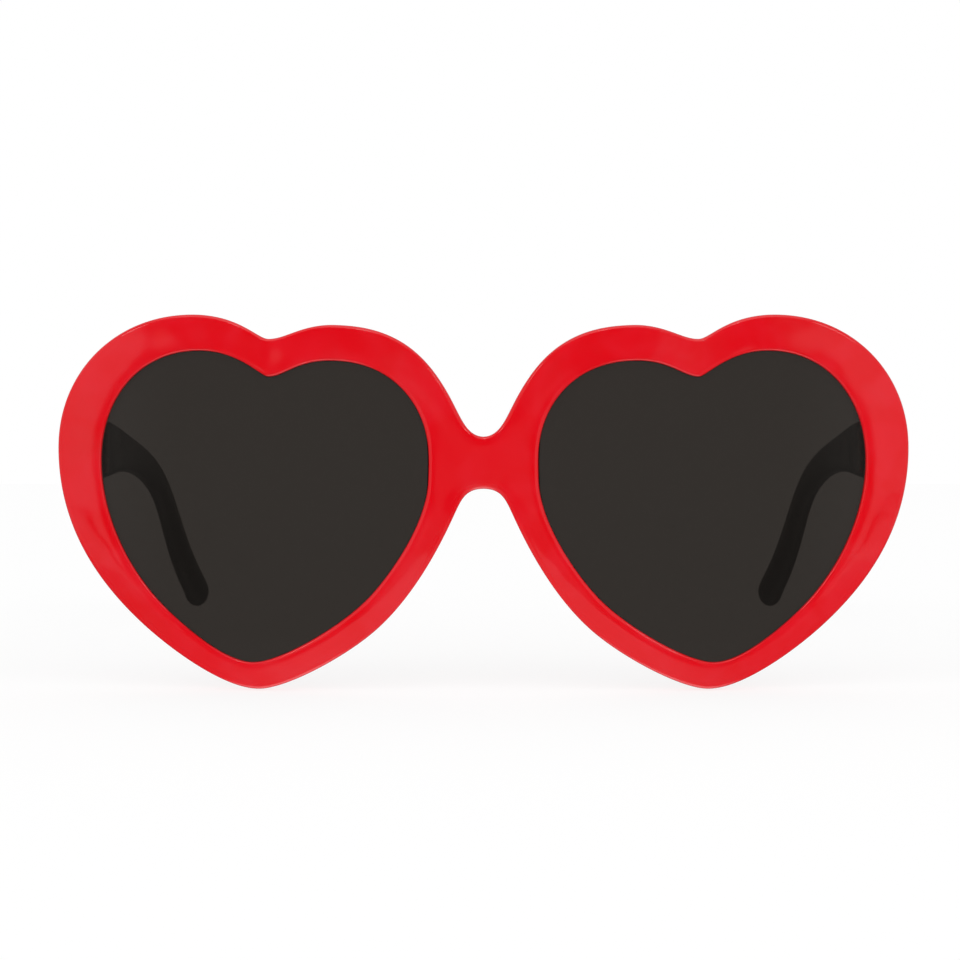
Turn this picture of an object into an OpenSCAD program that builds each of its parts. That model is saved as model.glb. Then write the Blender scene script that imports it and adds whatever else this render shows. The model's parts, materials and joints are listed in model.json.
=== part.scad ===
// Heart shaped sunglasses: a bowed front with two lens grooves and moulded nose pads, two lenses,
// and two folding temples on three-knuckle metal hinges.
// Modelled as worn, with the front's rim tips at z = 0 and the temples running back along +y,
// then leaned back so that the rim tips and the temple tips rest on one table.
// Left is the wearer's left, at +x.

/* [Lenses] */
// Width of one lens opening
lens_w = 58; // [52:0.5:64]
// Height of one lens opening
lens_h = 54.9; // [49:0.1:60]
// Distance between the two lens openings
bridge_gap = 19; // [17:0.5:22]
// Thickness of a lens
lens_t = 2; // [1.8:0.1:2.2]
// Gap between the lens and the walls of its groove
lens_fit = 0.08; // [0.05:0.01:0.12]

/* [Front] */
// Nominal width of the rims
rim_w = 6.8; // [6.1:0.1:7.5]
// Thickness of the front
front_t = 4.2; // [4:0.1:4.6]
// Height of the bridge
bridge_h = 8.9; // [8:0.1:10]
// Rounding of the outer edges
edge_r = 1.2; // [0.8:0.1:1.4]
// Bevel at the lens openings
bevel = 0.5; // [0.4:0.1:0.8]
// How far the face of the front falls away to its outer edge
crown = 0.9; // [0.4:0.1:1.1]
// Depth of the lens groove
groove_d = 0.8; // [0.6:0.1:1]
// Width of the lens groove at its mouth
groove_w = 1.6; // [1.3:0.1:1.8]
// Angle at which each half of the front falls back
wrap_angle = 4; // [2:0.5:6]
// Radius of the bow of the front, seen from above
bow_r = 700; // [500:50:1200]
// Radius of the bow of the front, seen from the side
bow_side_r = 900; // [700:50:1500]
// How far the nose pads stand back from the front
pad_d = 4.5; // [3:0.1:5.5]
// How far the nose pads lean away from the nose
pad_splay = 1.6; // [1:0.1:2]

/* [Temples] */
// Length of a temple along the head, from the joint to the tip
temple_l = 128; // [120:1:134]
// Height of a temple at the joint
temple_h = 11; // [10.4:0.1:12]
// Thickness of a temple at the joint
temple_t = 4; // [3.8:0.1:4.4]
// Height of the temple behind the ear
hook_h = 6.2; // [5.4:0.1:7]
// Thickness of the temple behind the ear
hook_t = 3.6; // [3.2:0.1:4]
// Thickness of the temple tip
tip_t = 5.4; // [4.5:0.1:6]
// How far the tip drops below the joint
temple_drop = 30; // [26:1:34]
// How far the tip bends in towards the head
temple_in = 14; // [9:0.5:14.5]

/* [Hinges] */
// Radius of the hinge knuckles
knuckle_r = 1.7; // [1.6:0.05:1.9]
// Height of each hinge knuckle
knuckle_h = 2.6; // [2.4:0.1:2.8]
// Radius of the hinge screw
pin_r = 0.7; // [0.6:0.05:0.8]
// Thickness of a hinge leaf
leaf_t = 1.1; // [1:0.05:1.2]
// Length of the leaf on the temple
leaf_l = 11; // [10:0.5:14]
// Distance of the hinge axis behind the front's foremost point
joint_y = 17.5; // [17:0.1:19]

/* [Hidden] */
$fn = 48;

// Clearances and overrun
joint_gap = 0.3;
knuckle_gap = 0.1;
pin_gap = 0.05;
swing_gap = 0.3;
leaf_lift = 0.25;
thread_gap = 0.02;
overrun = 1;

// Outline of one lens opening, clockwise from the lower end of the bridge. Each row is a node:
// place across and up in shares of the opening's size, heading, and how far the curve's handles
// reach back and on, in the same shares.
lens_shares = [
    [0.003, 0.573, 92, 0.040, 0.040],
    [0.004, 0.697, 84, 0.040, 0.044],
    [0.045, 0.824, 60, 0.047, 0.093],
    [0.302, 0.965, 0, 0.128, 0.100],
    [0.488, 0.913, 0, 0.048, 0.020],
    [0.700, 0.999, 0, 0.120, 0.183],
    [1.000, 0.650, -90, 0.197, 0.168],
    [0.819, 0.193, -132, 0.158, 0.098],
    [0.536, 0.000, 180, 0.083, 0.076],
    [0.210, 0.180, 137, 0.124, 0.095],
    [0.033, 0.449, 111, 0.093, 0.039]
];
// Outer outline of the rim, node by node over the opening's. Each row is the width of the rim in
// shares of its nominal width, the direction in which that width is laid off, the heading, and the
// reach of the handles in shares of the opening's size. The first two nodes are at the bridge.
rim_shares = [
    [0, 0, 180, 0.040, 0],
    [0, 0, 0, 0, 0.052],
    [0.965, 172, 63, 0.062, 0.130],
    [0.940, 96, 0, 0.215, 0.100],
    [0.985, 90, 0, 0.052, 0.034],
    [0.975, 76.5, 0, 0.150, 0.234],
    [1.210, 16, -90, 0.241, 0.238],
    [0.745, -47.5, -136, 0.212, 0.134],
    [0.715, -101, 180, 0.100, 0.083],
    [0.745, -126, 137, 0.131, 0.142],
    [1.080, 160, 112, 0.155, 0.047]
];
// Steps along each stretch of the outlines, from node to node
outline_steps = [3, 4, 8, 8, 9, 12, 10, 8, 9, 8, 5];
bridge_step_count = outline_steps[0];
bridge_share = 0.637;
tip_node = 8;

// Places that follow from the driving sizes
lens_x = bridge_gap / 2;
lens_z = rim_w * rim_shares[tip_node][0] * sin(-rim_shares[tip_node][1]);
bridge_z = lens_z + bridge_share * lens_h;
front_mid_z = lens_z + lens_h / 2;
bridge_soft = bridge_gap / 2;

// How far the front's foremost surface falls back at a place
function bow(x, z) = tan(wrap_angle) * (sqrt(x * x + bridge_soft * bridge_soft) - bridge_soft)
    + x * x / (2 * bow_r) + pow(z - front_mid_z, 2) / (2 * bow_side_r);

// Cubic curve between two nodes: place, and direction of travel
function curve_at(p, p_on, q_back, q, t) = pow(1 - t, 3) * p + 3 * pow(1 - t, 2) * t * p_on
    + 3 * (1 - t) * t * t * q_back + t * t * t * q;
function curve_way(p, p_on, q_back, q, t) = pow(1 - t, 2) * (p_on - p)
    + 2 * (1 - t) * t * (q_back - p_on) + t * t * (q - q_back);
function unit(v) = v / norm(v);
function handle(heading, reach) = reach * [cos(heading) * lens_w, sin(heading) * lens_h];

function lens_node(i) = [lens_x + lens_shares[i][0] * lens_w, lens_z + lens_shares[i][1] * lens_h];
function rim_node(i) =
    i == 0 ? [0, bridge_z - bridge_h / 2] :
    i == 1 ? [0, bridge_z + bridge_h / 2] :
    lens_node(i) + rim_w * rim_shares[i][0] * [cos(rim_shares[i][1]), sin(rim_shares[i][1])];

// The face of the front is highest along a ridge near the lens. From there it falls to the outer
// edge, steadily steeper, and a little to the lens. Across the bridge it falls up and down.
ridge_share = 0.2;
lip_fall = 0.12 * crown;
function fall(share) = pow((share - ridge_share) / (1 - ridge_share), 1.6);

// One station: [opening's point, its outward way, rim's point, its inward way, share of the fall]
function station(i, t) =
    let (
        j = (i + 1) % len(lens_shares),
        a = lens_shares[i],
        b = lens_shares[j],
        c = rim_shares[i],
        d = rim_shares[j],
        in_p = lens_node(i),
        in_q = lens_node(j),
        in_on = in_p + handle(a[2], a[4]),
        in_back = in_q - handle(b[2], b[3]),
        out_p = rim_node(i),
        out_q = rim_node(j),
        out_on = out_p + handle(c[2], c[4]),
        out_back = out_q - handle(d[2], d[3]),
        inner = curve_at(in_p, in_on, in_back, in_q, t),
        in_way = unit(curve_way(in_p, in_on, in_back, in_q, t)),
        outer = i == 0 ? out_p + (out_q - out_p) * t : curve_at(out_p, out_on, out_back, out_q, t),
        out_way = i == 0 ? [0, 0] : unit(curve_way(out_p, out_on, out_back, out_q, t)),
        inset_way = i == 0 && t == 0 ? [0, 1] : [out_way[1], -out_way[0]],
        fall_share = i == 0 ? pow(abs(2 * t - 1), 1.6) : 1
    )
    [inner, unit([-in_way[1], in_way[0]] + unit(outer - inner)), outer, inset_way, fall_share];

stations = [
    for (i = [0 : len(lens_shares) - 1])
        for (k = [0 : outline_steps[i] - 1]) station(i, k / outline_steps[i])
];

// How much of the nose pad stands at a height on the nose side of the rim
pad_low = lens_z + 0.12 * lens_h;
pad_high = lens_z + 0.56 * lens_h;
function pad_rise(p) = p[0] > lens_x + lens_w / 2 || p[1] < pad_low || p[1] > pad_high ? 0
    : pow(sin(180 * (p[1] - pad_low) / (pad_high - pad_low)), 2);

// Section of the rim, as loops round the opening. Each row: place across from the opening's edge, 0,
// to the rim's, 1, inset from that edge, depth, and the shares of the fall, the pad's stand and its
// splay.
groove_y = front_t / 2;
section = [
    [0, bevel, lip_fall, 0, 0, 0],
    [0, 0, lip_fall + bevel, 0, 0, 0],
    [0, 0, groove_y - groove_w / 2, 0, 0, 0],
    [0, groove_d, groove_y, 0, 0, 0],
    [0, 0, groove_y + groove_w / 2, 0, 0, 0],
    [0, 0, front_t - bevel, 0, 0, 0],
    [0, bevel, front_t, 0, 0, 0],
    [0.5, 0, front_t, 0, 0.45, 0.2],
    [1, edge_r, front_t, 0, 0.93, 0.8],
    [1, edge_r * (1 - sin(30)), front_t - edge_r * (1 - cos(30)), 0, 0.98, 1],
    [1, edge_r * (1 - cos(30)), front_t - edge_r * (1 - sin(30)), 0, 0.8, 1],
    [1, 0, front_t - edge_r, 0, 0.45, 0.7],
    [1, 0, edge_r, 1, 0, 0],
    [1, edge_r * (1 - cos(30)), edge_r * (1 - sin(30)), 1, 0, 0],
    [1, edge_r * (1 - sin(30)), edge_r * (1 - cos(30)), 1, 0, 0],
    [1, edge_r, 0, 1, 0, 0],
    [0.75, 0, 0, fall(0.75), 0, 0],
    [0.48, 0, 0, fall(0.48), 0, 0],
    [ridge_share, 0, 0, 0, 0, 0]
];
first_outer_loop = 8;
last_outer_loop = 15;

function flat_place(s, row) =
    let (splay = row[5] * pad_rise(s[2]) * pad_splay)
    row[0] == 0 ? s[0] + row[1] * s[1] :
    row[0] == 1 ? s[2] + (row[1] + splay) * s[3] :
    (1 - row[0]) * (s[0] + bevel * s[1]) + row[0] * (s[2] + (edge_r + splay) * s[3]);
function rim_point(s, row) =
    let (p = flat_place(s, row))
    [p[0], bow(p[0], p[1]) + row[2] + row[3] * s[4] * crown + row[4] * pad_rise(s[2]) * pad_d, p[1]];
function mirrored(p) = [p[0] == 0 ? 0 : -p[0], p[1], p[2]];

// Two triangles for a patch of four points
function quad(a, b, c, d, flip) = flip ? [[a, c, b], [a, d, c]] : [[a, b, c], [a, c, d]];

module rims() {
    n = len(stations);
    m = len(section);
    half = [for (s = stations) for (row = section) rim_point(s, row)];
    points = concat(half, [for (p = half) mirrored(p)]);
    faces = [
        for (side = [0, 1]) for (i = [0 : n - 1]) for (j = [0 : m - 1])
            if (i >= bridge_step_count || j < first_outer_loop || j >= last_outer_loop)
                for (f = quad(
                    side * n * m + i * m + j,
                    side * n * m + ((i + 1) % n) * m + j,
                    side * n * m + ((i + 1) % n) * m + (j + 1) % m,
                    side * n * m + i * m + (j + 1) % m,
                    side == 1)) f
    ];
    polyhedron(points = points, faces = faces, convexity = 8);
}

// Where the temple and the hinge sit, on the left
temple_face_x = lens_x + lens_w + 0.43 * rim_w;
axis_x = temple_face_x - leaf_lift - knuckle_r;
axis_z = lens_z + 0.68 * lens_h;
barrel_h = 3 * knuckle_h + 2 * knuckle_gap;
lug_end_y = joint_y - joint_gap / 2;
temple_start_y = joint_y + joint_gap / 2;
corner_r = temple_t / 3;

screw_l = 2.4;
screw_r = 0.5;
head_r = 0.95;
head_h = 0.55;
slot_w = 0.25;
front_screw_y = lug_end_y - knuckle_r - leaf_lift - head_r;
front_screws_z = [axis_z - barrel_h * 0.28, axis_z + barrel_h * 0.28];
temple_leaf_y = joint_y + knuckle_r + swing_gap;
temple_screws_y = [temple_leaf_y + leaf_l * 0.27, temple_leaf_y + leaf_l * 0.73];

// End piece that carries the hinge: it flares where it leaves the rim, above, below and outside,
// and stays flat under the leaf. Each row: place behind the rim's back and growth, in shares of the
// flare.
flare_r = 1;
flare_shares = [[-1.2, 1], [0, 1], [0.2, 0.6], [0.5, 0.28], [1, 0.08], [1.6, 0]];
module lug() {
    back_y = bow(temple_face_x, axis_z) + front_t;
    corner_steps = 3;
    m = 4 * (corner_steps + 1);
    loops = concat([for (row = flare_shares) [back_y + row[0] * flare_r, row[1]]], [[lug_end_y, 0]]);
    points = [
        for (loop = loops) for (corner = [0 : 3]) for (k = [0 : corner_steps])
            let (
                angle = 90 * corner + 90 * k / corner_steps,
                outside = corner == 0 || corner == 3,
                above = corner < 2,
                grow = loop[1] * flare_r
            )
            [
                temple_face_x + corner_r * cos(angle)
                    + (outside ? temple_t - corner_r + grow / 2 : corner_r),
                loop[0],
                axis_z + corner_r * sin(angle) + (above ? 1 : -1) * (temple_h / 2 - corner_r + grow)
            ]
    ];
    n = len(loops);
    faces = concat(
        [for (i = [0 : n - 2]) for (k = [0 : m - 1])
            for (f = quad(i * m + k, (i + 1) * m + k, (i + 1) * m + (k + 1) % m, i * m + (k + 1) % m,
                true)) f],
        [for (k = [1 : m - 2]) [0, k + 1, k]],
        [for (k = [1 : m - 2]) [(n - 1) * m, (n - 1) * m + k, (n - 1) * m + k + 1]]
    );
    polyhedron(points = points, faces = faces, convexity = 4);
}

// Countersunk screw lying along +x, its head's face at the origin
module leaf_screw(gap) {
    rotate([0, 90, 0]) {
        cylinder(r1 = head_r + gap, r2 = screw_r + gap, h = head_h);
        cylinder(r = screw_r + gap, h = leaf_t + screw_l + gap);
    }
}
module cut_leaf_screw() {
    difference() {
        leaf_screw(0);
        translate([-overrun, -slot_w / 2, -head_r]) cube([overrun + head_h / 2, slot_w, 2 * head_r]);
    }
}

module front_frame() {
    color("red") difference() {
        union() {
            rims();
            lug();
            mirror([1, 0, 0]) lug();
        }
        for (side = [0, 1]) mirror([side, 0, 0]) for (z = front_screws_z)
            translate([temple_face_x - leaf_t, front_screw_y, z]) leaf_screw(thread_gap);
    }
}

// Lens: its bevelled edge in the groove, then rings that close each face
edge_break = lens_t / 10;
lens_edge = [
    [-lens_fit - edge_break, groove_y - lens_t / 2],
    [-lens_fit, groove_y - groove_w / 2 + lens_fit],
    [groove_d - 2 * lens_fit, groove_y],
    [-lens_fit, groove_y + groove_w / 2 - lens_fit],
    [-lens_fit - edge_break, groove_y + lens_t / 2]
];
ring_shares = [0.6, 0.25];
lens_mid = [lens_x + lens_w / 2, lens_z + lens_h * 0.55];

module lens() {
    n = len(stations);
    function on_face(p, depth) = [p[0], bow(p[0], p[1]) + depth, p[1]];
    function ring(s, share, depth) =
        on_face(lens_mid + share * (s[0] + lens_edge[0][0] * s[1] - lens_mid), depth);
    front_y = lens_edge[0][1];
    back_y = lens_edge[4][1];
    loops = concat(
        [for (share = [ring_shares[1], ring_shares[0]]) [for (s = stations) ring(s, share, front_y)]],
        [for (row = lens_edge) [for (s = stations) on_face(s[0] + row[0] * s[1], row[1])]],
        [for (share = ring_shares) [for (s = stations) ring(s, share, back_y)]]
    );
    m = len(loops);
    points = concat(
        [for (loop = loops) for (p = loop) p],
        [on_face(lens_mid, front_y), on_face(lens_mid, back_y)]
    );
    faces = concat(
        [for (j = [0 : m - 2]) for (i = [0 : n - 1])
            for (f = quad(j * n + i, (j + 1) * n + i, (j + 1) * n + (i + 1) % n, j * n + (i + 1) % n,
                false)) f],
        [for (i = [0 : n - 1]) [m * n, i, (i + 1) % n]],
        [for (i = [0 : n - 1]) [m * n + 1, (m - 1) * n + (i + 1) % n, (m - 1) * n + i]]
    );
    polyhedron(points = points, faces = faces, convexity = 4);
}
module lens_left() {
    color("dimgray") lens();
}
module lens_right() {
    color("dimgray") mirror([1, 0, 0]) lens();
}

// Temple: a straight arm that tapers, then an ear hook, swept along a curve seen from the side.
// Each node: place along and down in shares of the temple's length and drop, heading, handles.
temple_shares = [
    [0, 0, 0, 0, 0.20],
    [0.60, 0, -3, 0.22, 0.28],
    [0.975, 0.95, -46, 0.20, 0]
];
arm_steps = 14;
hook_steps = 18;
tip_steps = 5;
// Length of the tip's rounded end in shares of a half circle's
tip_share = 1.3;
section_steps = 4;
function temple_node(i) =
    [temple_start_y + temple_shares[i][0] * temple_l, axis_z - temple_shares[i][1] * temple_drop];
function temple_handle(heading, reach) = reach * temple_l * [cos(heading), sin(heading)];
function temple_curve(i, t, way) =
    let (
        p = temple_node(i),
        q = temple_node(i + 1),
        p_on = p + temple_handle(temple_shares[i][2], temple_shares[i][4]),
        q_back = q - temple_handle(temple_shares[i + 1][2], temple_shares[i + 1][3])
    )
    way ? unit(curve_way(p, p_on, q_back, q, t)) : curve_at(p, p_on, q_back, q, t);
// Smooth rise from 0 to 1 between two places
function ease(x, low, high) =
    let (t = min(max((x - low) / (high - low), 0), 1)) t * t * (3 - 2 * t);
function temple_height(along) = temple_h + (hook_h - temple_h) * ease(along, 0.24, 0.76);
function temple_width(along) = temple_t + (hook_t - temple_t) * ease(along, 0.35, 0.8)
    + (tip_t - hook_t) * ease(along, 0.82, 1);
// The inner face stays flat under the hinge leaf, and bends in behind it, most of all in the hook
flat_share = (temple_leaf_y + 1.5 * leaf_l - temple_start_y) / temple_l;
function temple_inset(along) = temple_in * pow(max(along - flat_share, 0) / (1 - flat_share), 4.5);

// One section: centre and way in the side view, place along in shares, and size in shares
temple_rows = concat(
    [for (k = [0 : arm_steps - 1]) [0, k / arm_steps, 1]],
    [for (k = [0 : hook_steps]) [1, k / hook_steps, 1]],
    [for (k = [1 : tip_steps]) [1, 1, cos(84 * k / tip_steps)]]
);
function temple_section(row, k) =
    let (
        c = temple_curve(row[0], row[1], false),
        w = temple_curve(row[0], row[1], true),
        along = (c[0] - temple_start_y) / temple_l,
        past = tip_share * sqrt(1 - row[2] * row[2]) * hook_h / 2,
        t = temple_width(along) * row[2],
        h = temple_height(along) * row[2],
        r = min(t, h) * (0.3 + 0.19 * ease(along, 0.3, 0.9)),
        angle = 90 / (section_steps - 1) * (k % section_steps) + 90 * floor(k / section_steps),
        side_x = k < section_steps || k >= 3 * section_steps ? 1 : -1,
        side_z = k < 2 * section_steps ? 1 : -1,
        u = side_x * (t / 2 - r) + r * cos(angle),
        v = side_z * (h / 2 - r) + r * sin(angle)
    )
    [
        temple_face_x - temple_inset(along) + temple_width(along) / 2 + u,
        c[0] + past * w[0] - v * w[1],
        c[1] + past * w[1] + v * w[0]
    ];

module arm() {
    n = len(temple_rows);
    m = 4 * section_steps;
    points = [for (row = temple_rows) for (k = [0 : m - 1]) temple_section(row, k)];
    faces = concat(
        [for (i = [0 : n - 2]) for (k = [0 : m - 1])
            for (f = quad(i * m + k, (i + 1) * m + k, (i + 1) * m + (k + 1) % m, i * m + (k + 1) % m,
                true)) f],
        [for (k = [1 : m - 2]) [0, k + 1, k]],
        [for (k = [1 : m - 2]) [(n - 1) * m, (n - 1) * m + k, (n - 1) * m + k + 1]]
    );
    polyhedron(points = points, faces = faces, convexity = 4);
}

module temple() {
    difference() {
        arm();
        for (y = temple_screws_y)
            translate([temple_face_x - leaf_t, y, axis_z]) leaf_screw(thread_gap);
    }
}
module temple_left() {
    color("black") temple();
}
module temple_right() {
    color("black") mirror([1, 0, 0]) temple();
}

// Hinge: the front's leaf has the outer knuckles, the temple's leaf the middle one
leaf_x = temple_face_x - leaf_t;
module knuckle(level) {
    translate([axis_x, joint_y, axis_z - barrel_h / 2 + level * (knuckle_h + knuckle_gap)])
        cylinder(r = knuckle_r, h = knuckle_h);
}
module bore(radius, low, high) {
    translate([axis_x, joint_y, low]) cylinder(r = radius, h = high - low);
}
middle_low = axis_z - knuckle_h / 2;
middle_high = axis_z + knuckle_h / 2;
barrel_low = axis_z - barrel_h / 2;
barrel_high = axis_z + barrel_h / 2;
screw_head_r = pin_r + 0.45 * (knuckle_r - pin_r);
screw_head_h = knuckle_h / 4;

module front_leaf() {
    leaf_start_y = bow(temple_face_x, axis_z) + front_t + joint_gap;
    difference() {
        union() {
            translate([leaf_x, leaf_start_y, barrel_low])
                cube([leaf_t, lug_end_y - leaf_start_y, barrel_h]);
            knuckle(0);
            knuckle(2);
        }
        bore(knuckle_r + swing_gap, middle_low - knuckle_gap, middle_high + knuckle_gap);
        bore(pin_r + thread_gap, barrel_low - overrun, barrel_high + overrun);
        bore(screw_head_r + thread_gap, barrel_high - screw_head_h - thread_gap, barrel_high + overrun);
        for (z = front_screws_z) translate([leaf_x, front_screw_y, z]) leaf_screw(thread_gap);
    }
}
module temple_leaf() {
    difference() {
        union() {
            translate([leaf_x, temple_leaf_y, barrel_low]) cube([leaf_t, leaf_l, barrel_h]);
            translate([leaf_x, temple_start_y, middle_low])
                cube([leaf_t, temple_leaf_y - temple_start_y + leaf_l / 2, knuckle_h]);
            knuckle(1);
        }
        bore(pin_r + pin_gap, middle_low - overrun, middle_high + overrun);
        for (y = temple_screws_y) translate([leaf_x, y, axis_z]) leaf_screw(thread_gap);
    }
}
module hinge_screw() {
    difference() {
        union() {
            bore(pin_r, barrel_low, barrel_high - screw_head_h);
            bore(screw_head_r, barrel_high - screw_head_h, barrel_high);
        }
        translate([axis_x - slot_w / 2, joint_y - knuckle_r, barrel_high - screw_head_h / 2])
            cube([slot_w, 2 * knuckle_r, overrun]);
    }
}
module front_leaf_screws() {
    for (z = front_screws_z) translate([leaf_x, front_screw_y, z]) cut_leaf_screw();
}
module temple_leaf_screws() {
    for (y = temple_screws_y) translate([leaf_x, y, axis_z]) cut_leaf_screw();
}

// How the glasses lie on a table: leaned back about x until the temple tips touch it, with the
// middle of their outline over the origin
rim_points = [for (s = stations) for (row = section) rim_point(s, row)];
temple_points = [for (row = temple_rows) for (k = [0 : 4 * section_steps - 1]) temple_section(row, k)];
rim_rest_y = bow(rim_node(tip_node)[0], 0) + front_t - edge_r;
temple_low_z = min([for (p = temple_points) p[2]]);
first_slope = temple_low_z / (temple_l + joint_y - rim_rest_y);
temple_rise = min([for (p = temple_points) p[2] - p[1] * first_slope]);
temple_rest = [for (p = temple_points) if (p[2] - p[1] * first_slope == temple_rise) p][0];
lean = atan(temple_rest[2] / (temple_rest[1] - rim_rest_y));
function leaned_y(p) = p[1] * cos(lean) + p[2] * sin(lean);
front_y = min([for (p = rim_points) leaned_y(p)]);
back_y = max([for (p = temple_points) leaned_y(p)]);
lift = rim_rest_y * sin(lean);
shift = (front_y + back_y) / 2;
axis_place = [
    axis_x,
    joint_y * cos(lean) + axis_z * sin(lean) - shift,
    axis_z * cos(lean) - joint_y * sin(lean) + lift
];
echo(lean = lean, lift = lift, shift = shift, axis_place = axis_place);

module at_rest() {
    translate([0, -shift, lift]) rotate([-lean, 0, 0]) children();
}
module on_right() {
    mirror([1, 0, 0]) children();
}

module front_leaf_left() {
    color("silver") front_leaf();
}
module front_leaf_right() {
    color("silver") on_right() front_leaf();
}
module temple_leaf_left() {
    color("silver") temple_leaf();
}
module temple_leaf_right() {
    color("silver") on_right() temple_leaf();
}
module hinge_screw_left() {
    color("darkgray") hinge_screw();
}
module hinge_screw_right() {
    color("darkgray") on_right() hinge_screw();
}
module front_leaf_screws_left() {
    color("darkgray") front_leaf_screws();
}
module front_leaf_screws_right() {
    color("darkgray") on_right() front_leaf_screws();
}
module temple_leaf_screws_left() {
    color("darkgray") temple_leaf_screws();
}
module temple_leaf_screws_right() {
    color("darkgray") on_right() temple_leaf_screws();
}

at_rest() front_frame();
at_rest() lens_left();
at_rest() lens_right();
at_rest() temple_left();
at_rest() temple_right();
at_rest() front_leaf_left();
at_rest() front_leaf_right();
at_rest() temple_leaf_left();
at_rest() temple_leaf_right();
at_rest() hinge_screw_left();
at_rest() hinge_screw_right();
at_rest() front_leaf_screws_left();
at_rest() front_leaf_screws_right();
at_rest() temple_leaf_screws_left();
at_rest() temple_leaf_screws_right();
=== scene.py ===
# %% [markdown]
# # Heart shaped sunglasses, dressed for a studio picture
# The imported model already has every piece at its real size: a moulded front, two lenses, two
# temples and two small metal hinges. This script gives each of them the surface that it has in the
# hand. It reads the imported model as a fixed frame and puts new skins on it, so that nothing has to
# be fitted by eye. Lengths are in metres, x runs across the face, y towards the wearer's ears and z
# up, and left is the wearer's left.

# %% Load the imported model
import json
import math

import bmesh
import bpy
import numpy as np
from mathutils import Matrix, Vector


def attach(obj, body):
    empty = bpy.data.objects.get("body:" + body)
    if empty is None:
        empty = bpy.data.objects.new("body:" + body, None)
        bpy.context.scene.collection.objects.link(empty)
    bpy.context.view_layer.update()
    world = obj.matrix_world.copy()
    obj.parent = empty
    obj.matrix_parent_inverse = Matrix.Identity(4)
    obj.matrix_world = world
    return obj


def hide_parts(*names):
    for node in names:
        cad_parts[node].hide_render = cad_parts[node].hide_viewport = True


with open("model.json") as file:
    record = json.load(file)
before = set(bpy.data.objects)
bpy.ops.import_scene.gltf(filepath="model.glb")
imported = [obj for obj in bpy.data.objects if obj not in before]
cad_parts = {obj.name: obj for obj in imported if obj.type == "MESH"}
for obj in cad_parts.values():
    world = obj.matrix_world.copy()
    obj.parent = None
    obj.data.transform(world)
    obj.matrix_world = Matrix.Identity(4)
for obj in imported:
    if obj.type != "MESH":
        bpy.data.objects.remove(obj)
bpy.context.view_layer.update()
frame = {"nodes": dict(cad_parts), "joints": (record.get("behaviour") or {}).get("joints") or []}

MM = 0.001
scene = bpy.context.scene

# %% [markdown]
# ## As worn, and as it lies
# On a nose the front of a pair of glasses stands upright. On a table it leans back a little,
# because the tips of the temples hang lower than the rims. Every curve below is easier to write as
# worn, so one function leans a finished point back into the place where the object lies. The angle
# is read from the hinge axis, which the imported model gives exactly, and so is the offset, once the
# place of that axis on the worn glasses is known. Turning the finished objects would look the same,
# but then their points couldn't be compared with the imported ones.

# %% The driving sizes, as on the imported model
lens_w = 58 * MM
lens_h = 54.9 * MM
bridge_gap = 19 * MM
bridge_h = 8.9 * MM
rim_w = 6.8 * MM
front_t = 4.2 * MM
lens_t = 2 * MM
lens_fit = 0.08 * MM
groove_d = 0.8 * MM
groove_w = 1.6 * MM
joint_y = 17.5 * MM
joint_gap = 0.3 * MM
temple_h = 11 * MM
temple_t = 4 * MM
leaf_l = 11 * MM
leaf_lift = 0.25 * MM
knuckle_r = 1.7 * MM
swing_gap = 0.3 * MM

# Width and direction of the rim at the heart's foot, as in the table of the rim below
foot_shares = [0.715, -101]
bridge_share = 0.637
temple_out_share = 0.43
hinge_up_share = 0.68
lens_x = bridge_gap / 2
lens_z = rim_w * foot_shares[0] * math.sin(math.radians(-foot_shares[1]))
bridge_z = lens_z + bridge_share * lens_h
front_mid_z = lens_z + lens_h / 2
temple_face_x = lens_x + lens_w + temple_out_share * rim_w
axis_x = temple_face_x - leaf_lift - knuckle_r
axis_z = lens_z + hinge_up_share * lens_h
print("hinge axis as worn at", round(axis_x / MM, 3), round(joint_y / MM, 3), round(axis_z / MM, 3))

# %% Lean from worn to lying
fold = {joint["child"]: joint for joint in frame["joints"]}["left_arm"]
axis_place = Vector(fold["pos_m"])
axis_way = Vector(fold["axis"])
lean = math.atan2(axis_way.y, axis_way.z)
lean_turn = Matrix.Rotation(-lean, 4, "X")
lean_move = axis_place - lean_turn @ Vector((axis_x, joint_y, axis_z))
LYING = Matrix.Translation(lean_move) @ lean_turn


def lie(points):
    """Points as worn, turned and moved to where the object lies."""
    turn = np.array(LYING.to_3x3())
    return np.asarray(points, float) @ turn.T + np.array(lean_move)


print("leaned back by", round(math.degrees(lean), 3), "degrees")

# %% [markdown]
# ## The camera
# The picture was taken square to the front, from a little over half a metre. A lens that long
# keeps the two hearts almost free of perspective, and still lets the temples show through the
# glasses as they run back. Closer up they would crowd into the middle of each lens, and from far
# away they would hide behind the rims. The camera is placed as worn, straight in front of the
# middle of the front, and then leaned with the object.

# %% Camera
EYE_DISTANCE = 650 * MM
EYE_HEIGHT = 36.81 * MM
PICTURE_SIDE_PX = 960
MM_PER_PX = 0.17435
OFF_CENTRE_PX = 3.5
camera = bpy.data.objects.new("camera", bpy.data.cameras.new("camera"))
scene.collection.objects.link(camera)
scene.camera = camera
camera.data.lens = camera.data.sensor_width * EYE_DISTANCE / (PICTURE_SIDE_PX * MM_PER_PX * MM)
camera.data.shift_x = -OFF_CENTRE_PX / PICTURE_SIDE_PX
camera.location = LYING @ Vector((0, -EYE_DISTANCE, EYE_HEIGHT))
camera.rotation_euler = (math.radians(90) - lean, 0, 0)
print("camera lens", round(camera.data.lens, 1), "mm at", [round(x, 3) for x in camera.location])

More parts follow.
